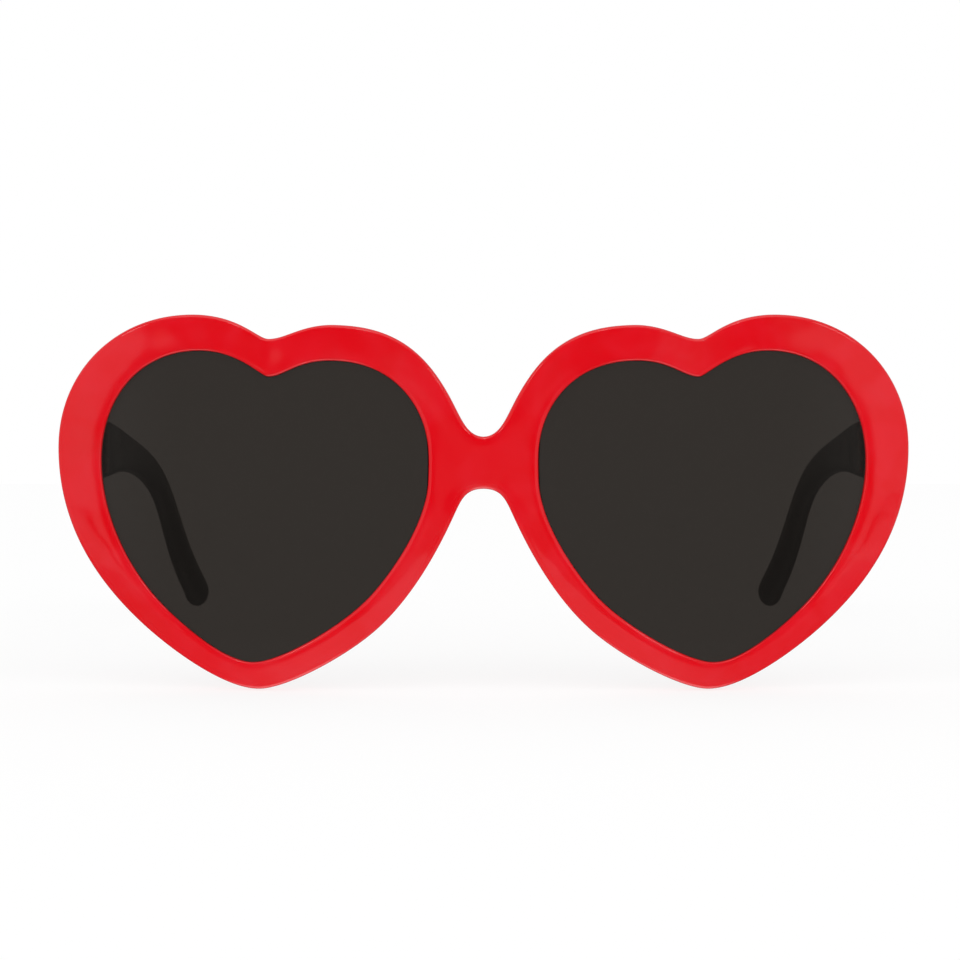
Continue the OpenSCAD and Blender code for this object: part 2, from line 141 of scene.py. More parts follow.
# %% [markdown]
# ## The outline of a heart
# A frame maker draws the lens opening first, and lays the rim off from it. Each outline here is a
# closed chain of cubic curves through eleven nodes. A node is a share of the opening's size and a
# heading, so a maker can stretch the heart and keep its character. The rim's nodes say how wide the
# rim is there and in which direction. A curve object with handles drawn by eye could give the same
# heart, but the lip, the groove and the lens would each need a copy of it.

# %% Nodes of the two outlines
# Place across and up, heading, reach back and reach on
lens_shares = [
    [0.003, 0.573, 92, 0.040, 0.040],
    [0.004, 0.697, 84, 0.040, 0.044],
    [0.045, 0.824, 60, 0.047, 0.093],
    [0.302, 0.965, 0, 0.128, 0.100],
    [0.488, 0.913, 0, 0.048, 0.020],
    [0.700, 0.999, 0, 0.120, 0.183],
    [1.000, 0.650, -90, 0.197, 0.168],
    [0.819, 0.193, -132, 0.158, 0.098],
    [0.536, 0.000, 180, 0.083, 0.076],
    [0.210, 0.180, 137, 0.124, 0.095],
    [0.033, 0.449, 111, 0.093, 0.039],
]
# Width of the rim, its direction, heading, reach back and reach on
rim_shares = [
    [0, 0, 180, 0.040, 0],
    [0, 0, 0, 0, 0.052],
    [0.965, 172, 63, 0.062, 0.130],
    [0.940, 96, 0, 0.215, 0.100],
    [0.985, 90, 0, 0.052, 0.034],
    [0.975, 76.5, 0, 0.150, 0.234],
    [1.210, 16, -90, 0.241, 0.238],
    [0.745, -47.5, -136, 0.212, 0.134],
    [*foot_shares, 180, 0.100, 0.083],
    [0.745, -126, 137, 0.131, 0.142],
    [1.080, 160, 112, 0.155, 0.047],
]
# Steps on each stretch, closest together where the outline turns fast
outline_steps = [7, 4, 8, 8, 9, 12, 10, 8, 9, 8, 5]
BRIDGE_STEPS = outline_steps[0]


def heading_way(degrees):
    """Unit vector of a heading in the plane of the front."""
    return np.array([math.cos(math.radians(degrees)), math.sin(math.radians(degrees))])


def unit(v):
    return v / np.linalg.norm(v)


def lens_node(i):
    across, up = lens_shares[i][:2]
    return np.array([lens_x + across * lens_w, lens_z + up * lens_h])


def rim_node(i):
    if i < 2:
        return np.array([0, bridge_z + (i - 0.5) * bridge_h])
    width, way = rim_shares[i][:2]
    return lens_node(i) + rim_w * width * heading_way(way)


print("outline nodes:", len(lens_shares), "with", sum(outline_steps), "steps between them")

# %% Stations round the opening
def cubic(p, p_on, q_back, q, t):
    """Place and direction on a cubic curve."""
    place = (1 - t) ** 3 * p + 3 * (1 - t) ** 2 * t * p_on + 3 * (1 - t) * t * t * q_back + t**3 * q
    way = (1 - t) ** 2 * (p_on - p) + 2 * (1 - t) * t * (q_back - p_on) + t * t * (q - q_back)
    return place, way


def station(i, t):
    """The opening's point, its outward way, the rim's point and its inward way."""
    j = (i + 1) % len(lens_shares)
    size = np.array([lens_w, lens_h])
    ends = []
    for table, node in ((lens_shares, lens_node), (rim_shares, rim_node)):
        p, q = node(i), node(j)
        p_on = p + table[i][4] * heading_way(table[i][2]) * size
        q_back = q - table[j][3] * heading_way(table[j][2]) * size
        ends.append((p, p_on, q_back, q))
    inner, inner_way = cubic(*ends[0], t)
    inner_way = unit(inner_way)
    if i == 0:
        outer = ends[1][0] + (ends[1][3] - ends[1][0]) * t
        inset = np.array([0.0, 1.0]) if t == 0 else np.zeros(2)
    else:
        outer, outer_way = cubic(*ends[1], t)
        outer_way = unit(outer_way)
        inset = np.array([outer_way[1], -outer_way[0]])
    outward = unit(np.array([-inner_way[1], inner_way[0]]) + unit(outer - inner))
    return inner, outward, outer, inset


def stations(finer=1):
    """All stations of one opening. Finer multiplies the steps of every stretch."""
    rows = []
    for i, steps in enumerate(outline_steps):
        rows += [(i, k / (steps * finer), station(i, k / (steps * finer))) for k in range(steps * finer)]
    return rows


print("stations round one heart:", len(stations()))

# %% [markdown]
# ## The bow of the front
# The front isn't flat: each half falls back towards the temple, and the whole is bowed to the face
# both ways. Depth is added to every point of the outline by one formula, so the lenses and the rims
# bow together. A bend modifier would bow one way only, and each piece by itself.

# %% Bow
WRAP = math.tan(math.radians(4))
BOW_R = 700 * MM
BOW_SIDE_R = 900 * MM


def bow(x, z):
    """How far back the foremost surface of the front lies at a place."""
    soft = bridge_gap / 2
    wrap = WRAP * (np.sqrt(x * x + soft * soft) - soft)
    return wrap + x * x / (2 * BOW_R) + (z - front_mid_z) ** 2 / (2 * BOW_SIDE_R)


print("the ends of the front lie", round(bow(lens_x + lens_w, axis_z) / MM, 1), "mm back")

# %% [markdown]
# ## Turning loops into a skin
# Nearly every plastic piece here is a loft: a closed section carried along a path. The helper joins
# neighbouring loops with four-sided faces. A curve object with a bevel makes a loft too, but its
# section can't change its shape along the way. Four-sided faces in even rows are what a subdivision
# surface smooths best, and gloss shows every uneven face.

# %% Skin and object helpers
def new_object(name, points, faces):
    mesh = bpy.data.meshes.new(name)
    mesh.from_pydata([tuple(p) for p in points], [], faces)
    made = bpy.data.objects.new(name, mesh)
    scene.collection.objects.link(made)
    return made


def loft_faces(count, width, first=0, ring=False):
    """Faces between count loops of width points each. A ring joins the last loop to the first."""
    return [
        (
            first + i * width + k,
            first + i * width + (k + 1) % width,
            first + (i + 1) % count * width + (k + 1) % width,
            first + (i + 1) % count * width + k,
        )
        for i in range(count if ring else count - 1)
        for k in range(width)
    ]


def tidy_skin(made, weld=0.0):
    """Welds double points, turns every face outward and smooths the shading."""
    skin = bmesh.new()
    skin.from_mesh(made.data)
    if weld:
        bmesh.ops.remove_doubles(skin, verts=skin.verts, dist=weld)
        bmesh.ops.dissolve_degenerate(skin, edges=skin.edges, dist=weld / 10)
    bmesh.ops.recalc_face_normals(skin, faces=skin.faces)
    for face in skin.faces:
        face.smooth = True
    open_edges = sum(len(edge.link_faces) != 2 for edge in skin.edges)
    volume = skin.calc_volume(signed=True)
    skin.to_mesh(made.data)
    skin.free()
    print(made.name, len(made.data.polygons), "faces,", open_edges, "open edges,",
          round(volume / MM**3, 1), "cubic mm")
    return made


def subdivide(made, levels=2):
    """Adds a subdivision surface modifier, so the mesh renders smooth."""
    modifier = made.modifiers.new("smooth", "SUBSURF")
    modifier.levels = levels
    modifier.render_levels = levels
    return made


# %% [markdown]
# ## The moulded front
# The rim is one closed skin that runs round both openings and across the bridge. Its section starts
# at the rounded lip of the opening, dips into the lens groove, crosses the back, turns round the
# outer edge and comes back over a crowned face. That face is highest along a ridge near the lens,
# and falls away to the outer edge, steadily steeper. The crown matters most in a picture: a flat
# rim would be one even red, and a crowned one is pale where it leans to the sides and deep on top.
# Towards the bridge the crown flattens, so that the bridge shows no bands. Two hearts cut out of a
# plate would be quicker, but such a cut leaves long uneven faces and no crown.

# %% Section of the rim
lip_r = 0.5 * MM
edge_r = 0.9 * MM
crown = 0.9 * MM
ridge_share = 0.2
lip_fall = 0.05 * crown
CROWN_POWER = 1.6
# The crown is low on the bridge and grows to its full height from one place across to another
BRIDGE_CROWN_SHARE = 0.25
CROWN_GROWS = (1.5 * MM, 14 * MM)
BRIDGE_POWER = 1.6
groove_y = front_t / 2
lens_face_y = groove_y - lens_t / 2
pad_d = 4.5 * MM
pad_splay = 1.6 * MM
QUARTER_TURNS = [0, 22.5, 45, 67.5, 90]
FACE_SHARES = [0.9, 0.77, 0.62, 0.47, 0.33, 0.2, 0.08]
BACK_SHARES = [[0.25, 0.15, 0.05], [0.5, 0.45, 0.2], [0.75, 0.75, 0.5]]
EDGE_SHARES = [[0.93, 0.8], [1, 1], [0.92, 1], [0.72, 0.9], [0.45, 0.7]]
print("front is", round(front_t / MM, 2), "mm thick, its crown falls", round(crown / MM, 2), "mm")


# %% Rows of the section
def fall(share):
    """Share of the crown that the face has fallen at a place across it."""
    if share < ridge_share:
        return lip_fall / crown * ((ridge_share - share) / ridge_share) ** 2
    return ((share - ridge_share) / (1 - ridge_share)) ** CROWN_POWER


# Each row: share across from opening to rim edge, inset from that edge, depth, and the shares of
# the crown's fall and of the nose pad's stand and splay
rim_section = [[0, lip_r, lip_fall, 0, 0, 0], [0, 0.3 * lip_r, lip_fall + 0.3 * lip_r, 0, 0, 0]]
rim_section += [[0, 0, lip_fall + lip_r, 0, 0, 0], [0, 0, lens_face_y, 0, 0, 0]]
rim_section += [[0, 0, groove_y - groove_w / 2, 0, 0, 0], [0, groove_d, groove_y, 0, 0, 0]]
rim_section += [[0, 0, groove_y + groove_w / 2, 0, 0, 0], [0, 0, front_t - lip_r, 0, 0, 0]]
rim_section += [[0, 0.3 * lip_r, front_t - 0.3 * lip_r, 0, 0, 0], [0, lip_r, front_t, 0, 0, 0]]
rim_section += [[share, 0, front_t, 0, stand, splay] for share, stand, splay in BACK_SHARES]
FIRST_EDGE_ROW = len(rim_section)
for turn, (stand, splay) in zip(QUARTER_TURNS, EDGE_SHARES):
    s, c = math.sin(math.radians(turn)), math.cos(math.radians(turn))
    rim_section.append([1, edge_r * (1 - s), front_t - edge_r * (1 - c), 0, stand, splay])
for turn in reversed(QUARTER_TURNS):
    s, c = math.sin(math.radians(turn)), math.cos(math.radians(turn))
    rim_section.append([1, edge_r * (1 - s), edge_r * (1 - c), 1, 0, 0])
LAST_EDGE_ROW = len(rim_section) - 1
rim_section += [[share, 0, 0, fall(share), 0, 0] for share in FACE_SHARES]
print("points in the rim's section:", len(rim_section))


# %% Where a point of the section lies
def ease(x, low, high):
    """Smooth rise from 0 to 1 between two places."""
    t = min(max((x - low) / (high - low), 0), 1)
    return t * t * (3 - 2 * t)


PAD_SHARES = [0.12, 0.56]
pad_low, pad_high = (lens_z + share * lens_h for share in PAD_SHARES)
print("nose pads from", round(pad_low / MM, 1), "to", round(pad_high / MM, 1), "mm above the rims' foot")


def pad_rise(place):
    """How much of the nose pad stands at a height on the nose side."""
    if place[0] > lens_x + lens_w / 2 or not pad_low < place[1] < pad_high:
        return 0.0
    return math.sin(math.pi * (place[1] - pad_low) / (pad_high - pad_low)) ** 2


def rim_point(i, t, place, row):
    """Point of one section row at one station, as worn."""
    inner, outward, outer, inset = place
    share, edge_inset, depth, fallen, stand, splay = row
    rise = pad_rise(outer)
    if share == 0:
        flat = inner + edge_inset * outward
    elif share == 1:
        flat = outer + (edge_inset + splay * rise * pad_splay) * inset
    else:
        near = inner + lip_r * outward
        far = outer + (edge_r + splay * rise * pad_splay) * inset
        flat = near + share * (far - near)
    # The crown flattens towards the bridge, and there it falls up and down from the middle
    fallen *= BRIDGE_CROWN_SHARE + (1 - BRIDGE_CROWN_SHARE) * ease(outer[0], *CROWN_GROWS)
    if i == 0 and share > ridge_share:
        fallen *= abs(2 * t - 1) ** BRIDGE_POWER
    return [flat[0], bow(flat[0], flat[1]) + depth + fallen * crown + stand * rise * pad_d, flat[1]]


# %% The skin of the front
def front_skin():
    """Both rims and the bridge, as points and faces."""
    rows = stations()
    width = len(rim_section)
    half = [rim_point(i, t, place, row) for i, t, place in rows for row in rim_section]
    faces = [
        face
        for n, face in enumerate(loft_faces(len(rows), width, ring=True))
        if n // width >= BRIDGE_STEPS or not FIRST_EDGE_ROW <= n % width < LAST_EDGE_ROW
    ]
    other = [[-x, y, z] for x, y, z in half]
    return half + other, faces + [tuple(len(half) + k for k in reversed(face)) for face in faces]


front_points, front_faces = front_skin()
front = new_object("front_moulding", lie(front_points), front_faces)
tidy_skin(front, weld=0.002 * MM)


# %% [markdown]
# ## The end pieces
# Behind each outer rim a short block runs back to the hinge. On the real front it is moulded in one
# with the rim, with a small fillet where they meet, so its skin starts inside the rim, flares where
# it leaves the back and ends just short of the temple. The side that carries the hinge leaf stays
# flat. A union of the two skins would break up their even rows of faces, and the red hides where
# they overlap, so they stay two skins.

# %% End pieces of the front
CORNER_TURNS = [0, 30, 60, 90]
corner_r = temple_t / 3
lug_end_y = joint_y - joint_gap / 2
end_break = 0.3 * MM


def rounded_section(low_x, high_x, low_z, high_z, r):
    """Corner-rounded rectangle seen from behind, as x and z pairs."""
    corners = [(high_x - r, high_z - r, 0), (low_x + r, high_z - r, 90),
               (low_x + r, low_z + r, 180), (high_x - r, low_z + r, 270)]
    return [
        (x + r * math.cos(math.radians(start + turn)), z + r * math.sin(math.radians(start + turn)))
        for x, z, start in corners
        for turn in CORNER_TURNS
    ]


# How far behind the rim's back each loop lies and how far it flares, in shares of the flare
FLARE_SHARES = [[-1.2, 1], [0, 1], [0.12, 0.72], [0.28, 0.5], [0.5, 0.28], [1, 0.08], [1.6, 0]]
flare_r = 1 * MM


def end_piece_loops():
    face_x, far_x = temple_face_x, temple_face_x + temple_t
    low_z, high_z = axis_z - temple_h / 2, axis_z + temple_h / 2
    back_y = bow(face_x, axis_z) + front_t
    loops = [(back_y + along * flare_r, growth * flare_r) for along, growth in FLARE_SHARES]
    loops += [(lug_end_y - 2 * end_break, 0), (lug_end_y - end_break, 0)]
    loops += [(lug_end_y - 0.1 * end_break, -0.2 * end_break), (lug_end_y, -end_break)]
    made = []
    for y, grow in loops:
        inner = face_x - min(grow, 0)
        ring = rounded_section(inner, far_x + 0.5 * grow, low_z - grow, high_z + grow, corner_r)
        made.append([(x, y, z) for x, z in ring])
    return made


def capped(loops):
    """A loft with both ends closed."""
    width = len(loops[0])
    points = [p for loop in loops for p in loop]
    faces = loft_faces(len(loops), width)
    faces.append(tuple(range(width - 1, -1, -1)))
    faces.append(tuple(range(len(points) - width, len(points))))
    return points, faces


def mirrored(points):
    return [(-x, y, z) for x, y, z in points]


lug_points, lug_faces = capped(end_piece_loops())
for side, points in (("left", lug_points), ("right", mirrored(lug_points))):
    end_piece = new_object("end_piece_" + side, lie(points), lug_faces)
    tidy_skin(end_piece)
    subdivide(end_piece)
    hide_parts("front_frame")
    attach(end_piece, "front")
subdivide(front)
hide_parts("front_frame")
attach(front, "front")

# %% [markdown]
# ## The lenses
# A lens is cut a hair smaller than its groove and snapped in. Its edge is bevelled to a blunt
# ridge, and both faces follow the bow of the front. The faces are rings that close on the middle of
# the heart, all of them placed on the bow by formula, so the gloss runs over the lens without a
# ripple. One big face couldn't bow, and a filled outline would be cut into uneven triangles.

# %% Lens
RING_SHARES = [0.92, 0.8, 0.66, 0.5, 0.33, 0.16]
edge_break = lens_t / 30
lens_mid_share = 0.55
lens_mid = np.array([lens_x + lens_w / 2, lens_z + lens_mid_share * lens_h])
lens_edge = [
    (-lens_fit - edge_break, groove_y - lens_t / 2),
    (-lens_fit, groove_y - groove_w / 2 + lens_fit),
    (groove_d - 2 * lens_fit, groove_y),
    (-lens_fit, groove_y + groove_w / 2 - lens_fit),
    (-lens_fit - edge_break, groove_y + lens_t / 2),
]


def lens_skin():
    rows = [place for _, _, place in stations(finer=3)]
    face_edge = [place[0] + lens_edge[0][0] * place[1] for place in rows]
    flat_loops = [([lens_mid + share * (p - lens_mid) for p in face_edge], lens_edge[0][1])
                  for share in reversed(RING_SHARES)]
    flat_loops += [([place[0] + out * place[1] for place in rows], depth) for out, depth in lens_edge]
    flat_loops += [([lens_mid + share * (p - lens_mid) for p in face_edge], lens_edge[-1][1])
                   for share in RING_SHARES]
    points = [(p[0], bow(p[0], p[1]) + depth, p[1]) for loop, depth in flat_loops for p in loop]
    width = len(rows)
    faces = loft_faces(len(flat_loops), width)
    for first, depth in ((0, lens_edge[0][1]), (len(points) - width, lens_edge[-1][1])):
        points.append((lens_mid[0], bow(*lens_mid) + depth, lens_mid[1]))
        faces += [(first + k, first + (k + 1) % width, len(points) - 1) for k in range(width)]
    return points, faces


def crease(made, degrees=30):
    """Keeps the shading sharp where two faces meet at more than this angle."""
    skin = bmesh.new()
    skin.from_mesh(made.data)
    for edge in skin.edges:
        edge.smooth = edge.calc_face_angle(0) < math.radians(degrees)
    skin.to_mesh(made.data)
    skin.free()


lens_points, lens_faces = lens_skin()
lenses = {}
for side, points in (("left", lens_points), ("right", mirrored(lens_points))):
    lens = new_object("lens_glass_" + side, lie(points), lens_faces)
    tidy_skin(lens)
    crease(lens)
    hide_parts("lens_" + side)
    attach(lens, "front")
    lenses[side] = lens

# %% [markdown]
# ## The temples
# A temple is a straight arm that thins towards the ear, then a hook that drops behind it and ends
# in a thicker rounded tip. Seen from the side its middle line is two cubic curves. The section is a
# rounded bar whose height, thickness and corners all change along the way. A straight bar could be
# bent afterwards, but then it would be hard to say where the hook hangs and how far it turns in.

# %% Temple sizes and middle line
temple_l = 128 * MM
temple_drop = 30 * MM
temple_in = 14 * MM
hook_h = 6.2 * MM
hook_t = 3.6 * MM
tip_t = 5.4 * MM
temple_start_y = joint_y + joint_gap / 2
temple_leaf_y = joint_y + knuckle_r + swing_gap
FLAT_LEAVES = 1.5
flat_share = (temple_leaf_y + FLAT_LEAVES * leaf_l - temple_start_y) / temple_l
# Place along and down, heading, reach back and reach on
temple_shares = [
    [0, 0, 0, 0, 0.20],
    [0.60, 0, -3, 0.22, 0.28],
    [0.975, 0.95, -46, 0.20, 0],
]
ARM_STEPS = 14
HOOK_STEPS = 18
TIP_TURNS = [18, 36, 52, 66, 78, 86]
tip_round_share = 1.3
END_ROWS = [[0, 1], [0.1, 0.2], [0.9, 0], [2, 0]]
# Shares of the length over which the bar thins, thickens to the tip, gets lower and gets rounder
THINS = (0.35, 0.8)
THICKENS = (0.82, 1)
LOWERS = (0.24, 0.76)
ROUNDS = (0.3, 0.9)
CORNER_SHARE = 0.3
CORNER_GROWTH = 0.19
INWARD_POWER = 4.5
print("temple is flat inside for", round(flat_share * temple_l / MM, 1), "mm behind its front end")


def temple_way(i, t):
    """Place and direction of the middle line, as y and z."""
    ends = []
    for along, down, heading, _, _ in temple_shares[i:i + 2]:
        ends.append(np.array([temple_start_y + along * temple_l, axis_z - down * temple_drop]))
    p_on = ends[0] + temple_shares[i][4] * temple_l * heading_way(temple_shares[i][2])
    q_back = ends[1] - temple_shares[i + 1][3] * temple_l * heading_way(temple_shares[i + 1][2])
    place, way = cubic(ends[0], p_on, q_back, ends[1], t)
    return place, unit(way)


# %% Temple section and skin
def temple_loop(i, t, size=1.0, along_on=0.0, shrink=0.0):
    """One section of the temple, as worn on the left."""
    place, way = temple_way(i, t)
    place = place + way * along_on
    along = (place[0] - temple_start_y) / temple_l
    past = tip_round_share * math.sqrt(1 - size * size) * hook_h / 2
    full_t = temple_t + (hook_t - temple_t) * ease(along, *THINS)
    full_t += (tip_t - hook_t) * ease(along, *THICKENS)
    thick = full_t * size
    high = (temple_h + (hook_h - temple_h) * ease(along, *LOWERS)) * size
    inset = temple_in * (max(along - flat_share, 0) / (1 - flat_share)) ** INWARD_POWER
    r = min(thick, high) * (CORNER_SHARE + CORNER_GROWTH * ease(along, *ROUNDS))
    middle_x = temple_face_x - inset + full_t / 2
    ring = rounded_section(-thick / 2 + shrink, thick / 2 - shrink,
                           -high / 2 + shrink, high / 2 - shrink, r)
    return [
        (middle_x + u, place[0] + past * way[0] - v * way[1], place[1] + past * way[1] + v * way[0])
        for u, v in ring
    ]


def temple_skin():
    loops = [temple_loop(0, 0, along_on=on * end_break, shrink=inset * end_break)
             for on, inset in END_ROWS]
    loops += [temple_loop(0, k / ARM_STEPS) for k in range(1, ARM_STEPS)]
    loops += [temple_loop(1, k / HOOK_STEPS) for k in range(HOOK_STEPS + 1)]
    loops += [temple_loop(1, 1, size=math.cos(math.radians(turn))) for turn in TIP_TURNS]
    return capped(loops)


temple_points, temple_faces = temple_skin()
temples = {}
for side, points in (("left", temple_points), ("right", mirrored(temple_points))):
    temple = new_object("temple_arm_" + side, lie(points), temple_faces)
    tidy_skin(temple)
    subdivide(temple)
    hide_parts("temple_" + side)
    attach(temple, side + "_arm")
    temples[side] = temple

# %% [markdown]
# ## Shared surface effects
# Three finishes here are polished plastic, and all of them are handled every day. Two effects are
# therefore made once as shader groups: the slow wave that a mould leaves in a thick glossy part,
# and the smudges that make a polish uneven. Copies in each material would do, but a change would
# then have to be made three times. Each material gives the groups its own amounts. A few small
# helpers come first, which link and combine shader values.

# %% Shader helpers
def link(tree, a, b):
    tree.links.new(a, b)


def soft_step(tree, source, low, high, level=1.0, base=0.0):
    """Goes softly from base to level while the source goes from low to high."""
    step = tree.nodes.new("ShaderNodeMapRange")
    step.interpolation_type = "SMOOTHSTEP"
    for label, value in (("From Min", low), ("From Max", high), ("To Min", base), ("To Max", level)):
        step.inputs[label].default_value = value
    link(tree, source, step.inputs["Value"])
    return step.outputs["Result"]


def joined(tree, operation, *values):
    """Combines two or more values by one operation, such as MULTIPLY or MAXIMUM."""
    total = values[0]
    for value in values[1:]:
        node = tree.nodes.new("ShaderNodeMath")
        node.operation = operation
        link(tree, total, node.inputs[0])
        link(tree, value, node.inputs[1])
        total = node.outputs[0]
    return total


def size_of(tree, source):
    """The value without its sign."""
    node = tree.nodes.new("ShaderNodeMath")
    node.operation = "ABSOLUTE"
    link(tree, source, node.inputs[0])
    return node.outputs[0]


def new_group(name, inputs, outputs):
    """A shader group with named number inputs and number outputs."""
    tree = bpy.data.node_groups.new(name, "ShaderNodeTree")
    for label, value in inputs.items():
        socket = tree.interface.new_socket(label, in_out="INPUT", socket_type="NodeSocketFloat")
        socket.default_value = value
    for label in outputs:
        tree.interface.new_socket(label, in_out="OUTPUT", socket_type="NodeSocketFloat")
    return tree, tree.nodes.new("NodeGroupInput"), tree.nodes.new("NodeGroupOutput")


# %% Moulded wave
wave_group, wave_in, wave_out = new_group(
    "moulded_wave", {"Wave per metre": 90, "Grain per metre": 1500, "Grain share": 0.02}, ["Height"])
place = wave_group.nodes.new("ShaderNodeTexCoord")
slow = wave_group.nodes.new("ShaderNodeTexNoise")
slow.inputs["Detail"].default_value = 1
fine = wave_group.nodes.new("ShaderNodeTexNoise")
fine.inputs["Detail"].default_value = 2
scaled = wave_group.nodes.new("ShaderNodeMath")
scaled.operation = "MULTIPLY_ADD"
link(wave_group, place.outputs["Object"], slow.inputs["Vector"])
link(wave_group, place.outputs["Object"], fine.inputs["Vector"])
link(wave_group, wave_in.outputs["Wave per metre"], slow.inputs["Scale"])
link(wave_group, wave_in.outputs["Grain per metre"], fine.inputs["Scale"])
link(wave_group, fine.outputs["Fac"], scaled.inputs[0])
link(wave_group, wave_in.outputs["Grain share"], scaled.inputs[1])
link(wave_group, slow.outputs["Fac"], scaled.inputs[2])
link(wave_group, scaled.outputs[0], wave_out.inputs["Height"])
print("group", wave_group.name, "has", len(wave_group.nodes), "nodes")

# %% Smudged polish
SMUDGE_LIMITS = (0.42, 0.72)
polish_group, polish_in, polish_out = new_group(
    "smudged_polish", {"Clean": 0.12, "Smudged": 0.3, "Smudges per metre": 60}, ["Roughness", "Mask"])
place = polish_group.nodes.new("ShaderNodeTexCoord")
smudge = polish_group.nodes.new("ShaderNodeTexNoise")
smudge.inputs["Detail"].default_value = 5
smudge.inputs["Roughness"].default_value = 0.62
smudge.inputs["Distortion"].default_value = 0.6
smudged = soft_step(polish_group, smudge.outputs["Fac"], *SMUDGE_LIMITS)
blend = polish_group.nodes.new("ShaderNodeMix")
link(polish_group, place.outputs["Object"], smudge.inputs["Vector"])
link(polish_group, polish_in.outputs["Smudges per metre"], smudge.inputs["Scale"])
link(polish_group, smudged, blend.inputs["Factor"])
link(polish_group, polish_in.outputs["Clean"], blend.inputs["A"])
link(polish_group, polish_in.outputs["Smudged"], blend.inputs["B"])
link(polish_group, blend.outputs["Result"], polish_out.inputs["Roughness"])
link(polish_group, smudged, polish_out.inputs["Mask"])
print("group", polish_group.name, "has", len(polish_group.nodes), "nodes")


# %% Materials to start from
def new_material(name):
    material = bpy.data.materials.new(name)
    material.use_nodes = True
    return material, material.node_tree, material.node_tree.nodes["Principled BSDF"]


def place_group(tree, group, **values):
    node = tree.nodes.new("ShaderNodeGroup")
    node.node_tree = group
    for label, value in values.items():
        node.inputs[label.replace("_", " ")].default_value = value
    return node


def polished(name, clean, smudged, wave_depth, **wave):
    """A material with smudged polish on its roughness and a moulded wave on its surface."""
    material, tree, surface = new_material(name)
    polish = place_group(tree, polish_group, Clean=clean, Smudged=smudged)
    link(tree, polish.outputs["Roughness"], surface.inputs["Roughness"])
    wave_node = place_group(tree, wave_group, **wave)
    bump = tree.nodes.new("ShaderNodeBump")
    bump.inputs["Distance"].default_value = wave_depth
    link(tree, wave_node.outputs["Height"], bump.inputs["Height"])
    link(tree, bump.outputs["Normal"], surface.inputs["Normal"])
    return material, tree, surface, polish


# %% [markdown]
# ## Red plastic
# The front is a slightly milky, glossy red. Light enters it and comes out a little further on, so
# thin places glow and edges look soft. A share of subsurface scattering does that, and a slow noise
# moves the red between a deep and a paler one, as the pigment does in a moulded part. Transmission
# would let light in as well, but it would make the rims as clear as boiled sugar. Most of the
# paleness that the eye sees isn't in the pigment, though: it is the room, mirrored in the polish.

# %% Red plastic material
DEEP_RED = (0.86, 0.0005, 0.007, 1)
PALE_RED = (0.88, 0.0065, 0.017, 1)
CLOUDS_PER_METRE = 95
CLOUD_PATTERN = 14
CLOUD_LIMITS = (0.38, 0.68)
SCATTER_SHARE = 0.2
red, tree, surface, _ = polished("frame_red_plastic", clean=0.1, smudged=0.2, wave_depth=0.7 * MM,
                                 Grain_share=0.0005)
pigment = tree.nodes.new("ShaderNodeTexNoise")
pigment.noise_dimensions = "4D"
pigment.inputs["W"].default_value = CLOUD_PATTERN
pigment.inputs["Scale"].default_value = CLOUDS_PER_METRE
pigment.inputs["Detail"].default_value = 2
pigment.inputs["Distortion"].default_value = 0.9
coordinates = tree.nodes.new("ShaderNodeTexCoord")
reds = tree.nodes.new("ShaderNodeMix")
reds.data_type = "RGBA"
reds.inputs[6].default_value = DEEP_RED
reds.inputs[7].default_value = PALE_RED
link(tree, coordinates.outputs["Object"], pigment.inputs["Vector"])
link(tree, soft_step(tree, pigment.outputs["Fac"], *CLOUD_LIMITS), reds.inputs["Factor"])
link(tree, reds.outputs[2], surface.inputs["Base Color"])
surface.inputs["Subsurface Weight"].default_value = SCATTER_SHARE
surface.inputs["Subsurface Radius"].default_value = (1.0, 0.15, 0.1)
surface.inputs["Subsurface Scale"].default_value = 1.5 * MM
surface.inputs["IOR"].default_value = 1.75
for piece in [front] + [bpy.data.objects["end_piece_" + side] for side in ("left", "right")]:
    piece.data.materials.append(red)
print(red.name, "has", len(tree.nodes), "nodes")

# %% [markdown]
# ## Black plastic
# The temples are a plain black, nearly as glossy as the front. One flat black would look cut out of
# the picture. A real one shows every smudge, so its polish varies more, and the same smudges lift
# the black a little, because a dull spot scatters more light than a clean one.

# %% Black plastic material
CLEAN_BLACK = (0.0065, 0.0062, 0.0062, 1)
SMUDGED_BLACK = (0.011, 0.0105, 0.0105, 1)
black, tree, surface, polish = polished("temple_black_plastic", clean=0.14, smudged=0.34,
                                        wave_depth=0.03 * MM, Grain_share=0.006)
blacks = tree.nodes.new("ShaderNodeMix")
blacks.data_type = "RGBA"
blacks.inputs[6].default_value = CLEAN_BLACK
blacks.inputs[7].default_value = SMUDGED_BLACK
link(tree, polish.outputs["Mask"], blacks.inputs["Factor"])
link(tree, blacks.outputs[2], surface.inputs["Base Color"])
surface.inputs["IOR"].default_value = 1.5
for temple in temples.values():
    temple.data.materials.append(black)
print(black.name, "has", len(tree.nodes), "nodes")

# %% [markdown]
# ## Lens tint
# The lenses are dyed through, a dark neutral grey with a trace of warmth. About three parts in a
# hundred of the light behind them come through, which is why the white room turns to charcoal and
# the black temples still show. A quarter of the tint scatters light instead of passing it, as the
# dye of a cheap lens does, and the polish is nearly perfect. A volume that absorbs light would be
# truer for a thick block, but an even sheet this thin looks the same with a coloured surface.

